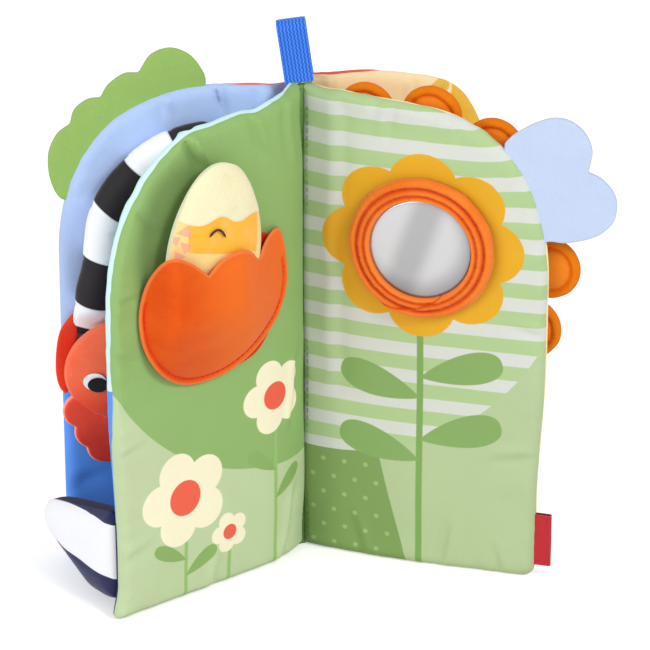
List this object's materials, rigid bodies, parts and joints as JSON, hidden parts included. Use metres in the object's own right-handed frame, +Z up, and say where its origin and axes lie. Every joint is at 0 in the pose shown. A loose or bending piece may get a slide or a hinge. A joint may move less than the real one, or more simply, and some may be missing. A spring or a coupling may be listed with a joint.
{
  "type": "soft book",
  "caption": "Soft cloth book for a baby: padded arch-topped leaves sewn at a spine, with covers that swing, a tulip pocket and chick, a mirror flower, a fish, felt tabs and a hang loop.",
  "frame": {"origin": "foot of the gutter seam between the two inner pages, on the surface the book stands on", "axes": "+Z up the spine, +X to the reader's right, -Y towards the reader"},
  "size_m": [0.2492, 0.1386, 0.2497],
  "materials": {
    "sky_cloth": "soft woven polyester",
    "coral_cloth": "soft woven polyester",
    "peach_cloth": "soft woven polyester",
    "padding": "polyester wadding",
    "green_cloth": "soft woven polyester, printed",
    "aqua_cloth": "soft woven polyester",
    "stripe_cloth": "soft woven polyester, printed stripes",
    "yellow_cloth": "soft woven polyester",
    "binding": "woven tape",
    "webbing": "woven polyester webbing",
    "velour_orange": "short pile velour",
    "velour_red": "short pile velour",
    "plush_yellow": "short pile plush, printed",
    "plush_cream": "short pile plush",
    "stuffing": "polyester fibrefill",
    "mirror": "metallised plastic film",
    "felt_blue": "felt",
    "felt_green": "felt",
    "ribbon_red": "satin ribbon",
    "knit_stripe": "brushed knit, black and white bands",
    "fish_cloth": "brushed knit",
    "fin_cloth": "velour",
    "felt_white": "felt",
    "felt_black": "felt",
    "plush_white": "brushed plush",
    "navy_cloth": "brushed knit",
    "petal_orange": "padded velour"
  },
  "bodies": {
    "root": {"chick_back": "plush_cream", "chick_front": "plush_yellow", "chick_stuffing": "stuffing", "cloud_tab": "felt_blue", "hang_loop": "webbing", "left_page_back_panel": "aqua_cloth", "left_page_front_panel": "green_cloth", "left_page_padding": "padding", "mane_petal_1": "petal_orange", "mane_petal_2": "petal_orange", "mane_petal_3": "petal_orange", "mane_petal_4": "petal_orange", "mane_petal_5": "petal_orange", "mane_petal_6": "petal_orange", "mane_petal_7": "petal_orange", "mane_petal_8": "petal_orange", "mane_petal_9": "petal_orange", "mirror_disc": "mirror", "mirror_ring": "velour_orange", "pocket_front": "velour_orange", "pocket_lining": "velour_red", "right_page_back_panel": "yellow_cloth", "right_page_front_panel": "stripe_cloth", "right_page_padding": "padding", "side_tag": "ribbon_red", "spine_binding": "binding", "spine_tape": "binding", "tail_dark_panel": "navy_cloth", "tail_pale_panel": "plush_white", "tail_stuffing": "stuffing"},
    "front_cover": {"bush_tab": "felt_green", "fish_back": "fish_cloth", "fish_back_fin": "fin_cloth", "fish_eye_pupil": "felt_black", "fish_eye_white": "felt_white", "fish_fin": "fin_cloth", "fish_front": "fish_cloth", "fish_stuffing": "stuffing", "front_cover_inner_panel": "sky_cloth", "front_cover_outer_panel": "coral_cloth", "front_cover_padding": "padding", "striped_tube_cover": "knit_stripe", "striped_tube_stuffing": "stuffing"},
    "back_cover": {"back_cover_inner_panel": "peach_cloth", "back_cover_outer_panel": "coral_cloth", "back_cover_padding": "padding"}
  },
  "joints": [
    {"name": "front_cover_hinge", "type": "hinge", "parent": "root", "child": "front_cover", "pos_m": [-0.0026, 0.01672, 0.11], "axis": [0, 0, 1], "range_deg": [-90, 2]},
    {"name": "back_cover_hinge", "type": "hinge", "parent": "root", "child": "back_cover", "pos_m": [0.00009, 0.01699, 0.11], "axis": [0, 0, 1], "range_deg": [-24, 65]}
  ]
}
